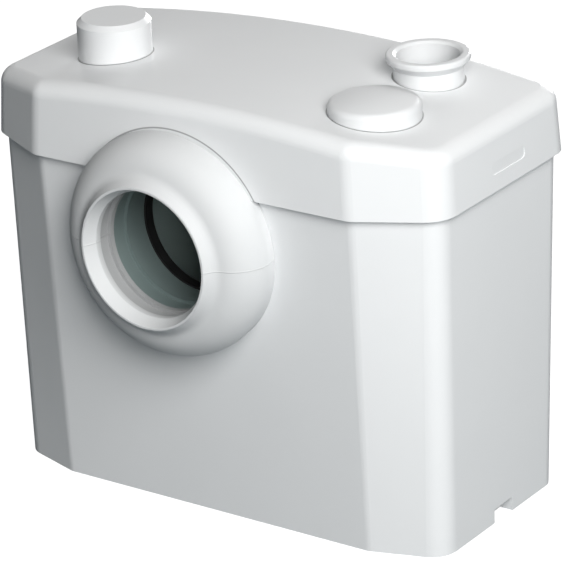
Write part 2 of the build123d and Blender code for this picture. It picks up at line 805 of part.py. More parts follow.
def make_stator():
    top = stator_bottom_height + stator_height
    outer = motor_radius - motor_wall - running_gap
    body = tube(outer, stator_bore_radius, stator_bottom_height, top, motor_x, motor_y)
    ring = (outer + stator_bore_radius) / 2
    for x, y in ring_places(ring, stator_slot_count, motor_x, motor_y):
        body -= upright(stator_slot_radius, stator_bottom_height - overrun, top + overrun, x, y)
    return body


def make_windings():
    """Two end coils, one on each face of the stator."""
    outer = motor_radius - motor_wall - winding_inset
    inner = stator_bore_radius + winding_inset
    top = stator_bottom_height + stator_height
    low = tube(outer, inner, stator_bottom_height - winding_height, stator_bottom_height, motor_x, motor_y)
    high = tube(outer, inner, top, top + winding_height, motor_x, motor_y)
    low = fillet(low.edges().sort_by(Axis.Z)[:2], winding_inset)
    high = fillet(high.edges().sort_by(Axis.Z)[-2:], winding_inset)
    return Compound([low, high])


def make_rotor_core():
    top = stator_bottom_height + stator_height
    return tube(stator_bore_radius - air_gap, shaft_radius + press_gap, stator_bottom_height, top, motor_x,
                motor_y)


def make_shaft():
    return upright(shaft_radius, shaft_bottom_height, shaft_top, motor_x, motor_y)


def make_motor_cover():
    """Lid of the motor on the deck, with the upper bearing's pocket and a dome over the shaft's end."""
    cover = upright(motor_flange_radius, cover_bottom, cover_top, motor_x, motor_y)
    hub = bearing_radius + bearing_pocket_wall
    cover += upright(hub, upper_bearing_bottom - seat_gap, cover_top, motor_x, motor_y)
    dome_top = cover_top + cover_dome_height
    cover += upright(cover_dome_radius, cover_bottom, dome_top, motor_x, motor_y)
    cover -= upright(bearing_radius + running_gap, upper_bearing_bottom - overrun, cover_top, motor_x,
                     motor_y)
    cover -= upright(shaft_radius + curved_gap, cover_bottom, shaft_top + seat_gap, motor_x, motor_y)
    for x, y in screw_places:
        cover -= upright(motor_screw_radius + curved_gap, cover_bottom - overrun, cover_top + overrun, x, y)
    return cover


def make_motor_screws():
    """Socket-head screws down through the cover and the deck into the housing's flange."""
    screws = []
    bottom = motor_top - motor_flange_thickness
    head = cover_top + seat_gap
    for x, y in screw_places:
        screw = upright(motor_screw_radius, bottom, head, x, y)
        screw += upright(motor_screw_head_radius, head, head + motor_screw_head_height, x, y)
        socket_bottom = head + motor_screw_head_height / 2
        screw -= hexagon(motor_screw_socket_radius, nut_sides, socket_bottom,
                         head + 2 * motor_screw_head_height, x, y)
        screws.append(screw)
    return Compound(screws)


# Cutter on the shaft
def make_blade_hub():
    flange_top = blade_height - seat_gap
    hub = upright(blade_hub_radius, flange_top - blade_hub_height, flange_top, motor_x, motor_y)
    hub += upright(blade_hub_flange_radius, flange_top - blade_hub_flange, flange_top, motor_x, motor_y)
    return hub - upright(shaft_radius + press_gap, 0, deck_height, motor_x, motor_y)


def make_macerator_blade():
    """Flat two-armed knife with upturned, slanted tips."""
    top = blade_height + blade_thickness
    arm = block(-blade_reach, blade_reach, -blade_width / 2, blade_width / 2, blade_height, top)
    for side in (-1, 1):
        x0 = min(side * blade_reach, side * (blade_reach - blade_thickness))
        tip = block(x0, x0 + blade_thickness, -blade_width / 2, blade_width / 2, blade_height,
                    top + blade_tip_height)
        slant = Plane(origin=(0, side * blade_width / 2, top + blade_tip_height))
        wedge = slant * Box(3 * blade_reach, blade_width, blade_tip_height)
        arm += tip - wedge
    disc = upright(blade_hub_flange_radius, blade_height, top, 0, 0)
    blade = arm + disc - upright(shaft_radius + press_gap, 0, deck_height, 0, 0)
    return Pos(motor_x, motor_y, 0) * blade


def make_blade_nut():
    bottom = blade_height + blade_thickness + seat_gap
    nut = hexagon(nut_across_radius, nut_sides, bottom, bottom + nut_height, motor_x, motor_y)
    return nut - upright(shaft_radius + press_gap, 0, deck_height, motor_x, motor_y)


# Basket: perforated trough under the inlet, with one corner cut back for the riser
def basket_plan(inset, height):
    left = basket_left + inset
    right = basket_right - inset
    front = basket_front + inset
    rear = basket_rear - inset
    cut_y = basket_cut_y - inset / 2
    cut_x = basket_cut_x - inset / 2
    points = [(left, front), (right, front), (right, cut_y), (cut_x, rear), (left, rear)]
    radii = [basket_round - inset, basket_round - inset, basket_cut_round, basket_cut_round,
             basket_round - inset]
    return Pos(0, 0, height) * make_face(FilletPolyline(*points, radius=radii, close=True))


def make_basket():
    tall = basket_height - basket_bottom
    body = extrude(basket_plan(0, basket_bottom), tall)
    body -= extrude(basket_plan(basket_wall, basket_bottom + basket_floor), tall)
    body -= upright(shaft_radius + notch_gap, basket_bottom - overrun, basket_bottom + 2 * basket_floor,
                    motor_x, motor_y)
    body -= along_y(pipe_radius + curved_gap, 2 * basket_front, basket_front + 2 * basket_wall, inlet_x,
                    inlet_z)
    half = pipe_radius + curved_gap
    body -= block(inlet_x - half, inlet_x + half, 2 * basket_front, basket_front + 2 * basket_wall,
                  inlet_z, rim_height)
    return body - basket_holes()


def basket_holes():
    """Rows of round holes through the front, rear and left walls and the floor."""
    pitch = basket_hole_pitch
    holes = []
    first = basket_left + basket_edge_margin
    count = int((basket_cut_x - basket_edge_margin - first) / pitch) + 1
    depth = basket_rear - basket_front + 2 * overrun
    for row in range(basket_hole_rows):
        z = basket_bottom + basket_hole_first + row * pitch
        for i in range(count):
            holes.append(along_y(basket_hole_radius, basket_front - overrun, basket_front + depth,
                                 first + i * pitch, z))
    side_first = basket_front + basket_edge_margin
    side_count = int((basket_rear - basket_edge_margin - side_first) / pitch) + 1
    for row in range(basket_hole_rows):
        z = basket_bottom + basket_hole_first + row * pitch
        for i in range(side_count):
            ends = (Align.CENTER, Align.CENTER, Align.CENTER)
            bar = Cylinder(basket_hole_radius, 2 * basket_edge_margin, align=ends)
            holes.append(Pos(basket_left, side_first + i * pitch, z) * Rot(0, quarter_turn, 0) * bar)
    for i in range(count):
        for j in range(side_count):
            x = first + i * pitch
            y = side_first + j * pitch
            if hypot(x - motor_x, y - motor_y) > volute_radius + basket_hole_radius + volute_wall:
                holes.append(upright(basket_hole_radius, basket_bottom - overrun,
                                     basket_bottom + basket_floor + overrun, x, y))
    return holes


# Pump casing, cover and impeller
volute_top = volute_bottom_height + volute_height
outlet_turn = (outlet_x - motor_x, outlet_y - motor_y)
outlet_distance = hypot(*outlet_turn)
nozzle_height = volute_bottom_height + volute_height / 2


def nozzle_rod(radius, start, end):
    """Level cylinder from the pump's axis towards the valve, between two distances."""
    path = Plane(origin=(motor_x, motor_y, nozzle_height), z_dir=(outlet_turn[0], outlet_turn[1], 0))
    ends = (Align.CENTER, Align.CENTER, Align.MIN)
    return path * Pos(0, 0, start) * Cylinder(radius, end - start, align=ends)


def make_volute():
    """Round casing on three feet, with a suction eye below and a nozzle towards the valve."""
    casing = upright(volute_radius, volute_bottom_height, volute_top, motor_x, motor_y)
    reach = outlet_distance - valve_radius - curved_gap
    casing += nozzle_rod(nozzle_radius, 0, reach)
    for x, y in ring_places(volute_foot_ring, volute_foot_count, motor_x, motor_y):
        casing += upright(volute_foot_radius, tank_floor + seat_gap, volute_bottom_height + volute_wall, x, y)
    room = volute_radius - volute_wall
    casing -= upright(room, volute_bottom_height + volute_wall, volute_top + overrun, motor_x, motor_y)
    casing -= upright(volute_eye_radius, 0, volute_top, motor_x, motor_y)
    return casing - nozzle_rod(nozzle_radius - nozzle_wall, 0, outlet_distance)


def make_volute_cover():
    bottom = volute_top + seat_gap
    cover = upright(volute_radius, bottom, bottom + volute_cover_thickness, motor_x, motor_y)
    return cover - upright(shaft_radius + notch_gap, bottom - overrun, bottom + 2 * volute_cover_thickness,
                           motor_x, motor_y)


impeller_top = volute_top - impeller_drop


def make_impeller():
    """Disc with curved vanes on its underside."""
    disc = upright(impeller_radius, impeller_top - impeller_disc, impeller_top, 0, 0)
    bottom = impeller_top - impeller_disc - impeller_vane_height
    body = disc + upright(impeller_hub_radius, bottom, impeller_top, 0, 0)
    bend = impeller_radius * 2 / 3
    outer = bend + impeller_vane_width / 2
    vane = tube(outer, outer - impeller_vane_width, bottom, impeller_top - impeller_disc, bend, 0)
    vane &= block(0, impeller_radius, 0, impeller_radius, bottom, impeller_top)
    vane &= upright(impeller_radius, bottom, impeller_top, 0, 0)
    for i in range(impeller_vane_count):
        body += Rot(0, 0, i * full_turn / impeller_vane_count) * vane
    body -= upright(shaft_radius + press_gap, 0, volute_top + overrun, 0, 0)
    return Pos(motor_x, motor_y, 0) * body


def make_impeller_nut():
    top = impeller_top - impeller_disc - impeller_vane_height - seat_gap
    nut = hexagon(impeller_hub_radius, nut_sides, shaft_bottom_height, top, motor_x, motor_y)
    return nut - upright(shaft_radius + press_gap, 0, volute_top, motor_x, motor_y)


# Non-return valve
flap_bottom = valve_seat_height + seat_gap
flap_middle = flap_bottom + flap_lug_radius


def make_valve_body():
    """Upright chamber with a closed foot, a side port from the pump and a seat for the flap."""
    inner = valve_radius - valve_wall
    body = upright(valve_radius, tank_floor + seat_gap, valve_height, outlet_x, outlet_y)
    body -= upright(inner, tank_floor + valve_floor, valve_height + overrun, outlet_x, outlet_y)
    socket = riser_radius + curved_gap
    body -= upright(socket, valve_height - riser_socket, valve_height + overrun, outlet_x, outlet_y)
    seat = tube(inner + valve_wall / 2, valve_seat_bore_radius, valve_seat_height - valve_seat_thickness,
                valve_seat_height, outlet_x, outlet_y)
    body += seat
    body -= nozzle_rod(nozzle_radius - nozzle_wall, outlet_distance - 2 * valve_radius + valve_wall,
                       outlet_distance)
    pin_x = outlet_x - flap_pin_offset
    half = pin_half_length() + seat_gap
    body -= along_y(flap_pin_radius + running_gap, outlet_y - half, outlet_y + half, pin_x, flap_middle)
    return body


def pin_half_length():
    inner = valve_radius - valve_wall
    return sqrt(inner ** 2 - flap_pin_offset ** 2) + flap_pin_grip


def make_flap_pin():
    half = pin_half_length()
    return along_y(flap_pin_radius, outlet_y - half, outlet_y + half, outlet_x - flap_pin_offset, flap_middle)


def make_valve_flap():
    """Disc over the seat, with a lug that turns on the pin."""
    pin_x = outlet_x - flap_pin_offset
    flap = upright(flap_radius, flap_bottom, flap_bottom + flap_thickness, outlet_x, outlet_y)
    half = flap_lug_width / 2
    flap += along_y(flap_lug_radius, outlet_y - half, outlet_y + half, pin_x, flap_middle)
    flap += block(pin_x, outlet_x, outlet_y - half, outlet_y + half, flap_bottom,
                  flap_bottom + flap_thickness)
    return flap - along_y(flap_pin_radius + running_gap, outlet_y - valve_radius, outlet_y + valve_radius,
                          pin_x, flap_middle)


# Level switch: dip tube, air chamber, diaphragm, plunger and microswitch
chamber_bottom = deck_top + seat_gap
chamber_top = chamber_bottom + chamber_height
cover_seat = chamber_top + diaphragm_thickness
switch_cover_top = cover_seat + switch_cover_height
plunger_bottom = cover_seat + plunger_gap


def make_dip_tube():
    """Air bell open at its foot, hung under the deck by a collar."""
    top = deck_height
    bell = upright(dip_radius, dip_bottom_height, top, switch_x, switch_y)
    bell += upright(chamber_radius, top - deck_thickness, top, switch_x, switch_y)
    return bell - upright(dip_radius - dip_wall, dip_bottom_height - overrun, top + overrun, switch_x,
                          switch_y)


def make_pressure_chamber():
    body = upright(chamber_radius, chamber_bottom, chamber_top, switch_x, switch_y)
    inner = chamber_radius - chamber_wall
    body -= upright(inner, chamber_bottom + chamber_wall, chamber_top + overrun, switch_x, switch_y)
    return body - upright(dip_radius - dip_wall, chamber_bottom - overrun, chamber_top, switch_x, switch_y)


def make_diaphragm():
    disc = upright(chamber_radius, chamber_top, cover_seat, switch_x, switch_y)
    inner = chamber_radius - chamber_wall - diaphragm_bead
    bead = tube(chamber_radius - chamber_wall - curved_gap, inner, chamber_top - diaphragm_bead_height,
                cover_seat, switch_x, switch_y)
    return disc + bead


def make_switch_cover():
    """Cap over the diaphragm, with a hole for the plunger and two posts for the microswitch."""
    cover = upright(chamber_radius, cover_seat, switch_cover_top, switch_x, switch_y)
    inner = chamber_radius - chamber_wall
    cover -= upright(inner, cover_seat - overrun, switch_cover_top - switch_cover_wall, switch_x, switch_y)
    cover -= upright(plunger_stem_radius + curved_gap, cover_seat, switch_cover_top + overrun, switch_x,
                     switch_y)
    post_top = plunger_top + plunger_travel + plunger_gap + microswitch_height
    for side in (-1, 1):
        inner_x = switch_x + side * (microswitch_length / 2 + seat_gap)
        outer_x = inner_x + side * post_width
        cover += block(min(inner_x, outer_x), max(inner_x, outer_x), switch_y - microswitch_width / 2,
                       switch_y + microswitch_width / 2, switch_cover_top - switch_cover_wall / 2, post_top)
    return cover


plunger_top = plunger_bottom + plunger_disc_height + plunger_stem_height


def make_switch_plunger():
    disc = upright(plunger_disc_radius, plunger_bottom, plunger_bottom + plunger_disc_height, switch_x,
                   switch_y)
    return disc + upright(plunger_stem_radius, plunger_bottom, plunger_top, switch_x, switch_y)


def make_microswitch():
    """Case between the cover's posts, with its connection pins on top."""
    bottom = plunger_top + plunger_travel + plunger_gap
    half = microswitch_length / 2
    width = microswitch_width / 2
    top = bottom + microswitch_height
    case = block(switch_x - half, switch_x + half, switch_y - width, switch_y + width, bottom, top)
    step = microswitch_length / (microswitch_pin_count + 1)
    for i in range(microswitch_pin_count):
        x = switch_x - half + step * (i + 1)
        case += upright(microswitch_pin_radius, top - microswitch_pin_length / 2,
                        top + microswitch_pin_length, x, switch_y)
    return case


# Electrical parts on the deck
def lying_along_x(radius, x0, x1, y, z):
    ends = (Align.CENTER, Align.CENTER, Align.MIN)
    return Pos(x0, y, z) * Rot(0, quarter_turn, 0) * Cylinder(radius, x1 - x0, align=ends)


capacitor_z = deck_top + seat_gap + capacitor_radius


def make_capacitor():
    half = capacitor_length / 2
    can = lying_along_x(capacitor_radius, capacitor_x - half, capacitor_x + half, capacitor_y, capacitor_z)
    end = lying_along_x(capacitor_radius - capacitor_cap_height, capacitor_x + half,
                        capacitor_x + half + capacitor_cap_height, capacitor_y, capacitor_z)
    return can + end


def make_capacitor_clip():
    """Strap over the capacitor with a screw foot on each side."""
    inner = capacitor_radius + curved_gap
    outer = inner + clip_thickness
    half = clip_width / 2
    x0 = capacitor_x - half
    x1 = capacitor_x + half
    floor = deck_top + seat_gap
    strap = lying_along_x(outer, x0, x1, capacitor_y, capacitor_z)
    strap += block(x0, x1, capacitor_y - outer, capacitor_y + outer, floor, capacitor_z)
    strap += block(x0, x1, capacitor_y - outer - clip_foot, capacitor_y + outer + clip_foot, floor,
                   floor + clip_thickness)
    strap &= block(x0, x1, capacitor_y - 2 * outer, capacitor_y + 2 * outer, floor, capacitor_z + outer)
    strap -= lying_along_x(inner, x0 - overrun, x1 + overrun, capacitor_y, capacitor_z)
    strap -= block(x0 - overrun, x1 + overrun, capacitor_y - inner, capacitor_y + inner, floor - overrun,
                   capacitor_z)
    for side in (-1, 1):
        y = capacitor_y + side * (outer + clip_foot / 2)
        strap -= upright(clip_screw_radius, floor - overrun, floor + overrun, capacitor_x, y)
    return strap


def make_terminal_block():
    """Row of terminals: a screw well and a wire entry in each."""
    half = terminal_length / 2
    width = terminal_width / 2
    bottom = deck_top + seat_gap
    top = bottom + terminal_height
    body = block(terminal_x - half, terminal_x + half, terminal_y - width, terminal_y + width, bottom, top)
    step = terminal_length / terminal_count
    for i in range(terminal_count):
        x = terminal_x - half + step * i + step / 2
        body -= upright(terminal_screw_radius, top - terminal_screw_depth, top + overrun, x, terminal_y)
        z = bottom + terminal_height / 3
        body -= along_y(terminal_entry_radius, terminal_y - terminal_width, terminal_y - width / 2, x, z)
    return body


# Cable gland through the lid's rear wall
def gland_face():
    span = lid_crown_height - lid_edge_height
    return half_depth - lid_skirt_lean * (gland_z - gland_flange_radius - lid_edge_height) / span + curved_gap


gland_share = (gland_z + gland_flange_radius - lid_edge_height) / (lid_crown_height - lid_edge_height)
gland_slope = lid_skirt_lean * gland_share
gland_nut_rear = half_depth - gland_slope - lid_wall - seat_gap


def make_cable_gland():
    face = gland_face()
    inner = gland_nut_rear - gland_inner_length
    gland = along_y(gland_thread_radius, inner, face, gland_x, gland_z)
    gland += along_y(gland_flange_radius, face, face + gland_flange_height, gland_x, gland_z)
    dome = face + gland_flange_height + gland_dome_height
    gland += along_y(gland_dome_radius, face, dome, gland_x, gland_z)
    gland = chamfer(gland.edges().sort_by(Axis.Y)[-1], gland_flange_height)
    return gland - along_y(gland_bore_radius, inner - overrun, dome + overrun, gland_x, gland_z)


def make_gland_nut():
    rear = gland_nut_rear
    front = rear - gland_nut_height
    outline = Plane(origin=(gland_x, front, gland_z), z_dir=(0, 1, 0)) * RegularPolygon(gland_nut_radius,
                                                                                        nut_sides)
    nut = extrude(outline, gland_nut_height)
    return nut - along_y(gland_thread_radius + running_gap, front - overrun, rear + overrun, gland_x, gland_z)


# Write every piece to its own file
pieces = {
    "tank": make_tank,
    "anti_vibration_pads": make_pads,
    "lid_seal": make_lid_seal,
    "lid": make_lid,
    "inlet_cap": make_inlet_cap,
    "vent_cap": make_vent_cap,
    "carbon_filter": make_carbon_filter,
    "discharge_collar": make_discharge_collar,
    "discharge_riser": make_discharge_riser,
    "riser_seal": make_riser_seal,
    "inlet_pipe": make_inlet_pipe,
    "inlet_lip_seal": make_inlet_lip_seal,
    "inlet_sleeve": make_inlet_sleeve,
    "motor_deck": make_motor_deck,
    "motor_housing": make_motor_housing,
    "motor_cover": make_motor_cover,
    "motor_screws": make_motor_screws,
    "stator": make_stator,
    "windings": make_windings,
    "rotor_core": make_rotor_core,
    "shaft": make_shaft,
    "upper_bearing": lambda: make_bearing(upper_bearing_bottom),
    "lower_bearing": lambda: make_bearing(lower_bearing_bottom),
    "shaft_seal": make_shaft_seal,
    "blade_hub": make_blade_hub,
    "macerator_blade": make_macerator_blade,
    "blade_nut": make_blade_nut,
    "basket": make_basket,
    "volute": make_volute,
    "volute_cover": make_volute_cover,
    "impeller": make_impeller,
    "impeller_nut": make_impeller_nut,
    "valve_body": make_valve_body,
    "flap_pin": make_flap_pin,
    "valve_flap": make_valve_flap,
    "dip_tube": make_dip_tube,
    "pressure_chamber": make_pressure_chamber,
    "diaphragm": make_diaphragm,
    "switch_cover": make_switch_cover,
    "switch_plunger": make_switch_plunger,
    "microswitch": make_microswitch,
    "capacitor": make_capacitor,
    "capacitor_clip": make_capacitor_clip,
    "terminal_block": make_terminal_block,
    "cable_gland": make_cable_gland,
    "gland_nut": make_gland_nut,
}

for name, make in pieces.items():
    export_step(make(), f"parts/{name}.step")
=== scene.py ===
from math import cos, radians, sin

import bpy
from mathutils import Matrix, Vector


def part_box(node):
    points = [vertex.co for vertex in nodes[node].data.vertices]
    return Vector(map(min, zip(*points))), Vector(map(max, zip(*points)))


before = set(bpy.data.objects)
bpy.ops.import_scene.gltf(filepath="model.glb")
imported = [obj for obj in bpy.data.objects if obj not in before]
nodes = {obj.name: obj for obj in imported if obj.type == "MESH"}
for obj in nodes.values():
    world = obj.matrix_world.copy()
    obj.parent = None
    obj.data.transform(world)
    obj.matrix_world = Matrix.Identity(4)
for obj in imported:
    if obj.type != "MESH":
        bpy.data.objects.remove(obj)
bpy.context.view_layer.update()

# Studio floor, wide enough for every view
floor_width = 12.0
floor_rough = 0.9
floor_colour = (0.110, 0.133, 0.145, 1)
floor_shade = (0.25, 0.25, 0.25, 1)
floor_glow = 0.95
paper_white = (1.0, 1.0, 1.0, 1)

# Camera, from the outlines in the photograph
image_width_px = 563
sensor_width_mm = 36
focal_px = 3809.49
camera_azimuth_deg = 36.11
camera_elevation_deg = 22.73
camera_roll_deg = -2.90
camera_distance = 2.34869
aim_height = 0.120
aim_shift_right = 0.00426
aim_shift_up = 0.00527
clip_near = 0.05
clip_far = 50


def middle(name):
    """The middle of a node's box."""
    low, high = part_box(name)
    return [(one + other) / 2 for one, other in zip(low, high)]


def half_width(name):
    """Half of a node's box along X."""
    low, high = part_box(name)
    return (high[0] - low[0]) / 2


# The sleeve: its parting line level with the inlet's axis, and painted shade that greys its throat deeper in
# the bore
along_depth = (1, 0, 1)
inlet_centre = middle("inlet_sleeve")
sleeve_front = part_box("inlet_sleeve")[0][1]
seam_half_width = 0.00025
seam_proud = 0.00015
shaded_throat_radius = 0.0441
throat_shade_start_depth = 0.008
throat_shade_end_depth = 0.016
throat_shade_start = sleeve_front + throat_shade_start_depth
throat_shade_end = sleeve_front + throat_shade_end_depth
throat_shade_share = 0.55

# Painted shade: thin dark rings on the lid where pieces meet it, standing in for the shadow in the gaps;
# axis, direction, radius, and how far back they run
upright = (1, 1, 0)
collar_neck_share = 0.85
everywhere = 1.0
shade_ring_half_width = 0.0003
shade_ring_share = 0.45
line_fade = 2
lid_shade_rings = (
    (inlet_centre, along_depth, half_width("inlet_sleeve"), 0),
    (middle("inlet_cap"), upright, half_width("inlet_cap"), everywhere),
    (middle("vent_cap"), upright, half_width("vent_cap"), everywhere),
    (middle("discharge_collar"), upright, collar_neck_share * half_width("discharge_collar"), everywhere),
)

# Softboxes: name, azimuth, elevation, distance, width, height, power in watts, colour
softboxes = (
    ("side_key", 51, 34, 2.0, 1.2, 1.2, 48, (1.0, 0.995, 0.985)),
    ("front_fill", 38, 14, 2.6, 1.0, 1.0, 6, (0.98, 0.99, 1.0)),
    ("rear_fill", 192, 10, 2.6, 0.8, 0.8, 42, (0.99, 0.995, 1.0)),
)
ambient_colour = (0.90, 0.97, 1.0, 1)
ambient_strength = 0.01

# Moulded plastic: noise scale and detail of each texture, and the relief's depth
plastic_cloud = (22, 4)
plastic_sheen = (60, 5)
plastic_skin = (1500, 3)
plastic_skin_depth = 0.00001
plastic_wave = (14, 2)
plastic_wave_depth = 0.00006
plain_gloss = 0.5
low_gloss = 0.3

# Rubber
rubber_bloom = (90, 6)
rubber_sheen = (140, 4)
rubber_grain = (2600, 2)
rubber_grain_depth = 0.000012
rubber_wave = (40, 3)
rubber_wave_depth = 0.00003
rubber_gloss = 0.15

# Bare metal, with marks drawn out along one axis
metal_cloud = (60, 4)
metal_marks = (900, 3)
metal_marks_depth = 0.000004
marks_round = (1, 1, 30)
marks_across = (1, 20, 1)
marks_along = (20, 1, 1)

# Stoved enamel
enamel_cloud = (45, 5)
enamel_sheen = (110, 4)
enamel_grain = (700, 5)
enamel_grain_depth = 0.00003
enamel_wave = (120, 3)
enamel_wave_depth = 0.00004

# Stacked sheets of the stator and rotor
sheet_scale = 320
sheet_depth = 0.0001
sheet_dark = (0.12, 0.12, 0.13)
sheet_light = (0.38, 0.38, 0.39)
sheet_sheen = (200, 4)
sheet_rough = (0.35, 0.55)

# Wound copper wire
wire_scale = 190
wire_waver = 1.2
wire_depth = 0.0003
wire_dark = (0.30, 0.10, 0.03)
wire_light = (0.72, 0.30, 0.12)
wire_sheen = (160, 3)
wire_rough = (0.22, 0.4)

# Filter foam
cell_scale = 700
cell_depth = 0.0005
cell_wall = (0.05, 0.05, 0.05)
cell_room = (0.01, 0.01, 0.01)
foam_rough = 0.95

# Plastics: name, two tones, roughness, gloss, painted shade rings, nodes
plastics = (
    ("white_plastic_skin", (0.775, 0.790, 0.800), (0.800, 0.812, 0.820), (0.30, 0.38), low_gloss, (),
     ("tank",)),
    ("lid_plastic_skin", (0.775, 0.790, 0.800), (0.800, 0.812, 0.820), (0.30, 0.38), low_gloss, lid_shade_rings,
     ("lid",)),
    ("cap_plastic_skin", (0.735, 0.748, 0.758), (0.760, 0.772, 0.780), (0.30, 0.38), low_gloss, (),
     ("inlet_cap", "vent_cap", "discharge_collar")),
    ("green_grey_plastic_skin", (0.16, 0.21, 0.205), (0.20, 0.25, 0.245), (0.40, 0.50), plain_gloss, (),
     ("inlet_pipe",)),
    ("dark_green_plastic_skin", (0.42, 0.54, 0.52), (0.47, 0.59, 0.57), (0.40, 0.55), plain_gloss, (),
     ("basket",)),
    ("grey_plastic_skin", (0.38, 0.39, 0.40), (0.46, 0.47, 0.48), (0.38, 0.5), plain_gloss, (),
     ("motor_deck", "volute", "volute_cover", "valve_body", "discharge_riser", "dip_tube", "pressure_chamber",
      "switch_cover")),
    ("black_plastic_skin", (0.018, 0.018, 0.019), (0.035, 0.035, 0.036), (0.35, 0.48), plain_gloss, (),
     ("impeller", "switch_plunger", "microswitch", "cable_gland", "gland_nut")),
    ("pale_plastic_skin", (0.68, 0.68, 0.63), (0.75, 0.75, 0.71), (0.28, 0.38), plain_gloss, (),
     ("terminal_block", "capacitor")),
)

# Rubbers: name, two tones, roughness, whether it has the mouth's parting line and painted throat shade, nodes
rubbers = (
    ("white_rubber_skin", (0.645, 0.658, 0.666), (0.670, 0.682, 0.688), (0.55, 0.65), True,
     ("inlet_sleeve",)),
    ("black_rubber_skin", (0.010, 0.010, 0.011), (0.028, 0.028, 0.028), (0.5, 0.7), False,
     ("inlet_lip_seal", "lid_seal", "anti_vibration_pads", "riser_seal", "shaft_seal", "diaphragm",
      "valve_flap")),
)

# Enamels: name, two tones, roughness, nodes
enamels = (
    ("motor_enamel_skin", (0.09, 0.10, 0.11), (0.14, 0.15, 0.16), (0.35, 0.5),
     ("motor_housing", "motor_cover")),
)

# Bare metals: name, two tones, roughness, marks, nodes
metals = (
    ("turned_steel_skin", (0.50, 0.50, 0.51), (0.66, 0.66, 0.67), (0.18, 0.32), marks_round,
     ("shaft", "upper_bearing", "lower_bearing", "blade_nut", "impeller_nut", "motor_screws", "flap_pin")),
    ("ground_steel_skin", (0.52, 0.52, 0.53), (0.64, 0.64, 0.65), (0.22, 0.36), marks_across,
     ("macerator_blade",)),
    ("spring_steel_skin", (0.42, 0.42, 0.43), (0.56, 0.56, 0.57), (0.25, 0.40), marks_along,
     ("capacitor_clip",)),
    ("brass_skin", (0.55, 0.41, 0.17), (0.68, 0.54, 0.26), (0.24, 0.38), marks_round, ("blade_hub",)),
)
laminated_nodes = ("stator", "rotor_core")
wound_nodes = ("windings",)
foam_nodes = ("carbon_filter",)


class Graph:
    """A material's nodes, wired by short calls."""

    def __init__(self, name):
        self.material = bpy.data.materials.new(name)
        self.material.use_nodes = True
        self.tree = self.material.node_tree
        self.shader = self.tree.nodes["Principled BSDF"]
        self.place = self.tree.nodes.new("ShaderNodeTexCoord").outputs["Object"]

    def link(self, source, target):
        self.tree.links.new(source, target)

    def noise(self, scale, detail, stretch=None):
        node = self.tree.nodes.new("ShaderNodeTexNoise")
        node.inputs["Scale"].default_value = scale
        node.inputs["Detail"].default_value = detail
        place = self.place
        if stretch:
            mapping = self.tree.nodes.new("ShaderNodeMapping")
            mapping.inputs["Scale"].default_value = stretch
            self.link(place, mapping.inputs["Vector"])
            place = mapping.outputs["Vector"]
        self.link(place, node.inputs["Vector"])
        return node.outputs["Fac"]

    def bands(self, axis, scale, distortion):
        node = self.tree.nodes.new("ShaderNodeTexWave")
        node.bands_direction = axis
        node.inputs["Scale"].default_value = scale
        node.inputs["Distortion"].default_value = distortion
        self.link(self.place, node.inputs["Vector"])
        return node.outputs["Fac"]

    def along(self, axis):
        split = self.tree.nodes.new("ShaderNodeSeparateXYZ")
        self.link(self.place, split.inputs["Vector"])
        return split.outputs[axis]

    def from_axis(self, centre, flat):
        """Distance from an axis through centre; flat is 0 along the axis and 1 across it."""
        flattened = self.tree.nodes.new("ShaderNodeVectorMath")
        flattened.operation = "MULTIPLY"
        flattened.inputs[1].default_value = flat
        self.link(self.place, flattened.inputs[0])
        node = self.tree.nodes.new("ShaderNodeVectorMath")
        node.operation = "DISTANCE"
        node.inputs[1].default_value = [place * kept for place, kept in zip(centre, flat)]
        self.link(flattened.outputs["Vector"], node.inputs[0])
        return node.outputs["Value"]

    def ramp(self, source, start, end, low, high):
        """low up to start, high from end on, and an even rise between."""
        node = self.tree.nodes.new("ShaderNodeMapRange")
        for socket, value in (("From Min", start), ("From Max", end), ("To Min", low), ("To Max", high)):
            node.inputs[socket].default_value = value
        self.link(source, node.inputs["Value"])
        return node.outputs["Result"]

    def math(self, operation, first, second):
        node = self.tree.nodes.new("ShaderNodeMath")
        node.operation = operation
        for place, value in enumerate((first, second)):
            if isinstance(value, bpy.types.NodeSocket):
                self.link(value, node.inputs[place])
            else:
                node.inputs[place].default_value = value
        return node.outputs["Value"]

    def line_at(self, source, place, half_width):
        """1 within half_width of place, fading to 0 at line_fade times that."""
        off = self.math("ABSOLUTE", self.math("SUBTRACT", source, place), 0)
        return self.ramp(off, half_width, line_fade * half_width, 1, 0)

    def darkened(self, colour, share, mask):
        """The colour, down to its share where the mask is 1."""
        node = self.tree.nodes.new("ShaderNodeVectorMath")
        node.operation = "SCALE"
        self.link(colour, node.inputs[0])
        self.link(self.ramp(mask, 0, 1, 1, share), node.inputs["Scale"])
        return node.outputs["Vector"]

    def spread(self, source, low, high):
        """A texture's 0 to 1 as low to high."""
        return self.ramp(source, 0, 1, low, high)

    def tones(self, source, dark, light):
        """A texture's 0 to 1 as the dark to the light tone."""
        node = self.tree.nodes.new("ShaderNodeMix")
        node.data_type = "RGBA"
        for socket in node.inputs:
            if socket.name == "A" and socket.type == "RGBA":
                socket.default_value = (*dark, 1)
            if socket.name == "B" and socket.type == "RGBA":
                socket.default_value = (*light, 1)
        self.link(source, node.inputs[0])
        return next(socket for socket in node.outputs if socket.type == "RGBA")

    def bump(self, source, height, before=None):
        """Relief of a height in metres, on top of an earlier relief."""
        node = self.tree.nodes.new("ShaderNodeBump")
        node.inputs["Strength"].default_value = 1
        node.inputs["Distance"].default_value = height
        self.link(source, node.inputs["Height"])
        if before:
            self.link(before, node.inputs["Normal"])
        return node.outputs["Normal"]

    def surface(self, **sockets):
        """Set or wire the shader's sockets by name."""
        for name, value in sockets.items():
            socket = self.shader.inputs[name.replace("_", " ")]
            if isinstance(value, bpy.types.NodeSocket):
                self.link(value, socket)
            else:
                socket.default_value = value


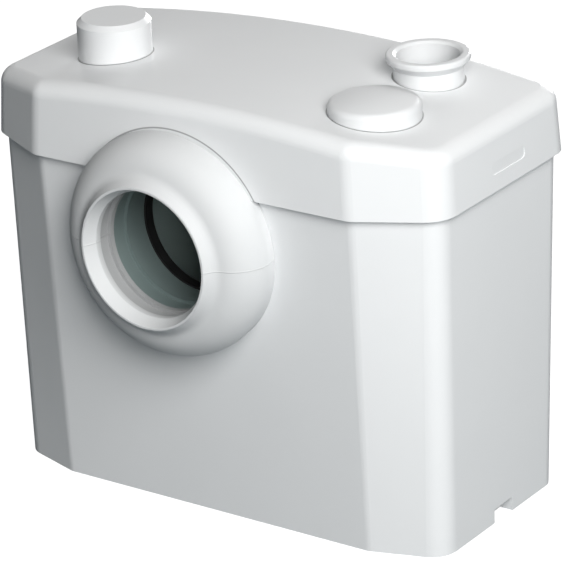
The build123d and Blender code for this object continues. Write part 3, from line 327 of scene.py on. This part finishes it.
def moulded_plastic(name, dark, light, rough, gloss, shade_rings):
    """Injection-moulded plastic: a faint cloudiness, an uneven sheen, a fine skin and painted shade rings
    where pieces meet it.
    """
    g = Graph(name)
    low, high = rough
    skin = g.bump(g.noise(*plastic_skin), plastic_skin_depth)
    colour = g.tones(g.noise(*plastic_cloud), dark, light)
    # Painted shade: each ring darkens the colour in a thin line round a piece, standing in for the shadow in
    # the gap
    for centre, flat, radius, rear in shade_rings:
        shade_ring = g.line_at(g.from_axis(centre, flat), radius + shade_ring_half_width, shade_ring_half_width)
        shown = g.math("MULTIPLY", shade_ring, g.math("LESS_THAN", g.along("Y"), rear))
        colour = g.darkened(colour, shade_ring_share, shown)
    g.surface(Base_Color=colour, Roughness=g.spread(g.noise(*plastic_sheen), low, high))
    g.surface(Normal=g.bump(g.noise(*plastic_wave), plastic_wave_depth, skin), Specular_IOR_Level=gloss)
    return g.material


def moulded_rubber(name, dark, light, rough, has_mouth_and_throat_shade):
    """Soft rubber: a powdery bloom over a fine grain; with a mouth, a parting line and painted shade that
    greys its throat.
    """
    g = Graph(name)
    low, high = rough
    skin = g.bump(g.noise(*rubber_grain), rubber_grain_depth)
    colour = g.tones(g.noise(*rubber_bloom), dark, light)
    if has_mouth_and_throat_shade:
        skin = g.bump(g.line_at(g.along("Z"), inlet_centre[2], seam_half_width), seam_proud, skin)
        # Painted shade: inside the bore the colour darkens with depth, standing in for the shade in the
        # throat
        bore = g.math("LESS_THAN", g.from_axis(inlet_centre, along_depth), shaded_throat_radius)
        throat_shade = g.math("MULTIPLY", bore, g.ramp(g.along("Y"), throat_shade_start, throat_shade_end, 0, 1))
        colour = g.darkened(colour, throat_shade_share, throat_shade)
    g.surface(Base_Color=colour, Roughness=g.spread(g.noise(*rubber_sheen), low, high))
    g.surface(Normal=g.bump(g.noise(*rubber_wave), rubber_wave_depth, skin), Specular_IOR_Level=rubber_gloss)
    return g.material


def metal(name, dark, light, rough, stretch):
    """Machined or drawn metal: fine marks that run one way."""
    g = Graph(name)
    low, high = rough
    marks = g.noise(*metal_marks, stretch)
    g.surface(Base_Color=g.tones(g.noise(*metal_cloud), dark, light), Roughness=g.spread(marks, low, high))
    g.surface(Normal=g.bump(marks, metal_marks_depth), Metallic=1)
    return g.material


def enamelled_metal(name, dark, light, rough):
    """Stoved enamel over cast metal, with the casting's grain showing through."""
    g = Graph(name)
    low, high = rough
    grain = g.bump(g.noise(*enamel_grain), enamel_grain_depth)
    g.surface(Base_Color=g.tones(g.noise(*enamel_cloud), dark, light))
    g.surface(Roughness=g.spread(g.noise(*enamel_sheen), low, high))
    g.surface(Normal=g.bump(g.noise(*enamel_wave), enamel_wave_depth, grain))
    return g.material


def laminated_steel(name):
    """Pressed sheets stacked along the shaft, varnished between."""
    g = Graph(name)
    sheets = g.bands("Z", sheet_scale, 0)
    g.surface(Base_Color=g.tones(sheets, sheet_dark, sheet_light), Metallic=1)
    g.surface(Roughness=g.spread(g.noise(*sheet_sheen), *sheet_rough), Normal=g.bump(sheets, sheet_depth))
    return g.material


def wound_copper(name):
    """Lacquered wire wound side by side."""
    g = Graph(name)
    turns = g.bands("Z", wire_scale, wire_waver)
    g.surface(Base_Color=g.tones(turns, wire_dark, wire_light), Metallic=1)
    g.surface(Roughness=g.spread(g.noise(*wire_sheen), *wire_rough), Normal=g.bump(turns, wire_depth))
    return g.material


def filter_foam(name):
    """Open-celled carbon foam."""
    g = Graph(name)
    cells = g.tree.nodes.new("ShaderNodeTexVoronoi")
    cells.inputs["Scale"].default_value = cell_scale
    g.link(g.place, cells.inputs["Vector"])
    g.surface(Base_Color=g.tones(cells.outputs["Distance"], cell_wall, cell_room))
    g.surface(Roughness=foam_rough, Normal=g.bump(cells.outputs["Distance"], cell_depth))
    return g.material


def dress(names, material):
    """Give the named nodes a material in place of their own."""
    for name in names:
        slots = nodes[name].data.materials
        slots.clear()
        slots.append(material)


def dress_all():
    for maker, rows in ((moulded_plastic, plastics), (moulded_rubber, rubbers), (enamelled_metal, enamels),
                        (metal, metals)):
        for *look, names in rows:
            dress(names, maker(*look))
    dress(laminated_nodes, laminated_steel("lamination_skin"))
    dress(wound_nodes, wound_copper("winding_skin"))
    dress(foam_nodes, filter_foam("foam_skin"))


def outward(azimuth, elevation):
    """Unit vector from the object towards a place round it; azimuth 0 is its front."""
    turn, rise = radians(azimuth), radians(elevation)
    return Vector((sin(turn) * cos(rise), -cos(turn) * cos(rise), sin(rise)))


def facing(place, back, up):
    """A pose at place that looks along -back with the given up direction."""
    right = up.cross(back).normalized()
    up = back.cross(right)
    pose = Matrix((right, up, back)).transposed().to_4x4()
    pose.translation = place
    return pose


def show_to_sight(tree, hidden, seen, output, kinds):
    """The eye and the named kinds of ray meet one shader, and all other light meets the other."""
    rays = tree.nodes.new("ShaderNodeLightPath")
    sight = rays.outputs["Is Camera Ray"]
    for kind in kinds:
        either = tree.nodes.new("ShaderNodeMath")
        either.operation = "MAXIMUM"
        tree.links.new(sight, either.inputs[0])
        tree.links.new(rays.outputs[kind], either.inputs[1])
        sight = either.outputs["Value"]
    mix = tree.nodes.new("ShaderNodeMixShader")
    tree.links.new(sight, mix.inputs["Fac"])
    tree.links.new(hidden, mix.inputs[1])
    tree.links.new(seen, mix.inputs[2])
    tree.links.new(mix.outputs["Shader"], output.inputs["Surface"])


def add_floor():
    """White paper to the eye, which darkens in the object's shadow; dark grey to the light."""
    bpy.ops.mesh.primitive_plane_add(size=floor_width, location=(0, 0, 0))
    floor = bpy.context.object
    floor.name = "studio_floor"
    material = bpy.data.materials.new("studio_floor_paint")
    material.use_nodes = True
    tree = material.node_tree
    paint = tree.nodes["Principled BSDF"]
    paint.inputs["Base Color"].default_value = floor_colour
    paint.inputs["Roughness"].default_value = floor_rough
    glow = tree.nodes.new("ShaderNodeEmission")
    glow.inputs["Color"].default_value = paper_white
    glow.inputs["Strength"].default_value = floor_glow
    shade = tree.nodes.new("ShaderNodeBsdfDiffuse")
    shade.inputs["Color"].default_value = floor_shade
    seen = tree.nodes.new("ShaderNodeAddShader")
    tree.links.new(shade.outputs["BSDF"], seen.inputs[0])
    tree.links.new(glow.outputs["Emission"], seen.inputs[1])
    show_to_sight(tree, paint.outputs["BSDF"], seen.outputs["Shader"], tree.nodes["Material Output"],
                  ("Is Transmission Ray",))
    floor.data.materials.append(material)


def add_world():
    """White air to the eye and to reflections; nearly dark to all other light."""
    world = bpy.data.worlds.new("studio_air")
    world.use_nodes = True
    tree = world.node_tree
    dim = tree.nodes["Background"]
    dim.inputs["Color"].default_value = ambient_colour
    dim.inputs["Strength"].default_value = ambient_strength
    seen = tree.nodes.new("ShaderNodeBackground")
    seen.inputs["Color"].default_value = paper_white
    show_to_sight(tree, dim.outputs["Background"], seen.outputs["Background"], tree.nodes["World Output"],
                  ("Is Glossy Ray", "Is Transmission Ray"))
    bpy.context.scene.world = world


def add_softbox(name, azimuth, elevation, distance, width, height, power, colour):
    """A rectangular lamp that looks at the object's middle."""
    data = bpy.data.lights.new(name, "AREA")
    data.shape = "RECTANGLE"
    data.size = width
    data.size_y = height
    data.energy = power
    data.color = colour
    lamp = bpy.data.objects.new(name, data)
    back = outward(azimuth, elevation)
    lamp.matrix_world = facing(Vector((0, 0, aim_height)) + back * distance, back, Vector((0, 0, 1)))
    bpy.context.collection.objects.link(lamp)


def add_camera():
    """The photograph's camera: its place, its roll and its small shift of aim."""
    data = bpy.data.cameras.new("photo_camera")
    data.sensor_width = sensor_width_mm
    data.lens = sensor_width_mm * focal_px / image_width_px
    data.clip_start = clip_near
    data.clip_end = clip_far
    camera = bpy.data.objects.new("photo_camera", data)
    back = outward(camera_azimuth_deg, camera_elevation_deg)
    level = Vector((0, 0, 1)).cross(back).normalized()
    upright = back.cross(level)
    roll = radians(camera_roll_deg)
    right = level * cos(roll) + upright * sin(roll)
    up = upright * cos(roll) - level * sin(roll)
    aim = Vector((0, 0, aim_height)) + right * aim_shift_right + up * aim_shift_up
    camera.matrix_world = facing(aim + back * camera_distance, back, up)
    bpy.context.collection.objects.link(camera)
    bpy.context.scene.camera = camera


dress_all()
add_floor()
add_world()
for softbox in softboxes:
    add_softbox(*softbox)
add_camera()
bpy.context.scene.view_settings.view_transform = "Standard"
